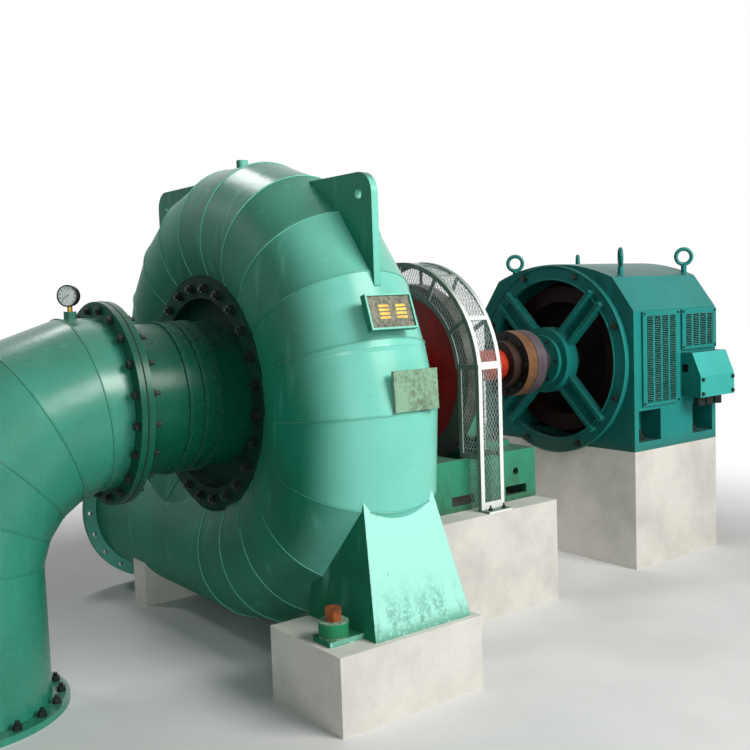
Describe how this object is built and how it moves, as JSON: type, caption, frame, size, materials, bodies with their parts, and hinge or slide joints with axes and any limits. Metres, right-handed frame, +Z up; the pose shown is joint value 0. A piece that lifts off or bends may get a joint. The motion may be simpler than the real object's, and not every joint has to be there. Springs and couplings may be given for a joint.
{
  "type": "hydroelectric generator",
  "caption": "Horizontal Francis turbine with spiral casing and draft elbow, driving a flywheel and generator through a pedestal-borne shaft on concrete plinths.",
  "frame": {"origin": "centre of the footprint box on the floor", "axes": "+X along the shaft from the draft elbow to the generator, +Y towards the casing inlet, +Z up"},
  "size_m": [4.8659, 2.506, 2.2709],
  "materials": {
    "base_enamel": "green enamel on fabricated steel",
    "bright_steel": "machined steel",
    "casing_enamel": "gloss green enamel on welded steel plate",
    "concrete": "trowelled pale concrete",
    "core_steel": "varnished laminated steel",
    "coupling_iron": "brown primed and oiled iron",
    "gauge_black": "black moulded case",
    "generator_enamel": "satin teal enamel on sheet steel",
    "guard_enamel": "grey-green enamel with white edges",
    "plate_metal": "dark enamelled plate",
    "rotor_red": "dark red enamel on steel",
    "rusted_steel": "rusted hexagon nut",
    "saddle_enamel": "pale green enamel, chipped and dirty at the sole",
    "winding_varnish": "red-brown varnished coil ends"
  },
  "bodies": {
    "housing": {"anchor_boss": "saddle_enamel", "anchor_nut": "rusted_steel", "base_frame": "base_enamel", "base_plinth": "concrete", "bearing_cap_front": "base_enamel", "bearing_cap_rear": "base_enamel", "bearing_cover_front": "generator_enamel", "bearing_cover_rear": "generator_enamel", "bearing_pedestal_front": "base_enamel", "bearing_pedestal_rear": "base_enamel", "cable_glands": "gauge_black", "data_plate": "casing_enamel", "draft_cone": "casing_enamel", "draft_cone_flange": "casing_enamel", "draft_elbow": "casing_enamel", "elbow_flange": "casing_enamel", "elbow_outlet_flange": "casing_enamel", "end_shield_front": "generator_enamel", "end_shield_rear": "generator_enamel", "front_cover": "casing_enamel", "gauge_boss": "bright_steel", "generator_frame": "generator_enamel", "generator_plinth": "concrete", "guard_feet": "guard_enamel", "guard_frame_front": "guard_enamel", "guard_frame_rear": "guard_enamel", "guard_rim": "guard_enamel", "inlet_cradle": "casing_enamel", "inlet_flange": "casing_enamel", "lifting_eyes": "bright_steel", "lifting_lug_far": "casing_enamel", "lifting_lug_near": "casing_enamel", "nameplate": "plate_metal", "nameplate_tray": "casing_enamel", "plate_standoffs": "casing_enamel", "pressure_gauge": "gauge_black", "rear_cover": "casing_enamel", "saddle_foot": "saddle_enamel", "saddle_plinth": "concrete", "spiral_casing": "casing_enamel", "stator_core": "core_steel", "stay_ring": "casing_enamel", "terminal_box": "generator_enamel", "vent_panel_far_short": "generator_enamel", "vent_panel_far_tall": "generator_enamel", "vent_panel_near_short": "generator_enamel", "vent_panel_near_tall": "generator_enamel", "vent_plug": "casing_enamel", "winding_ends": "winding_varnish"},
    "shaft_line": {"coupling_generator_half": "coupling_iron", "coupling_pins": "bright_steel", "coupling_turbine_half": "coupling_iron", "flywheel": "rotor_red", "generator_rotor": "core_steel", "generator_shaft": "rotor_red", "turbine_shaft": "rotor_red"}
  },
  "joints": [
    {"name": "shaft_turn", "type": "hinge", "parent": "housing", "child": "shaft_line", "pos_m": [0.435, -0.027, 1.185], "axis": [1, 0, 0], "continuous": true}
  ]
}
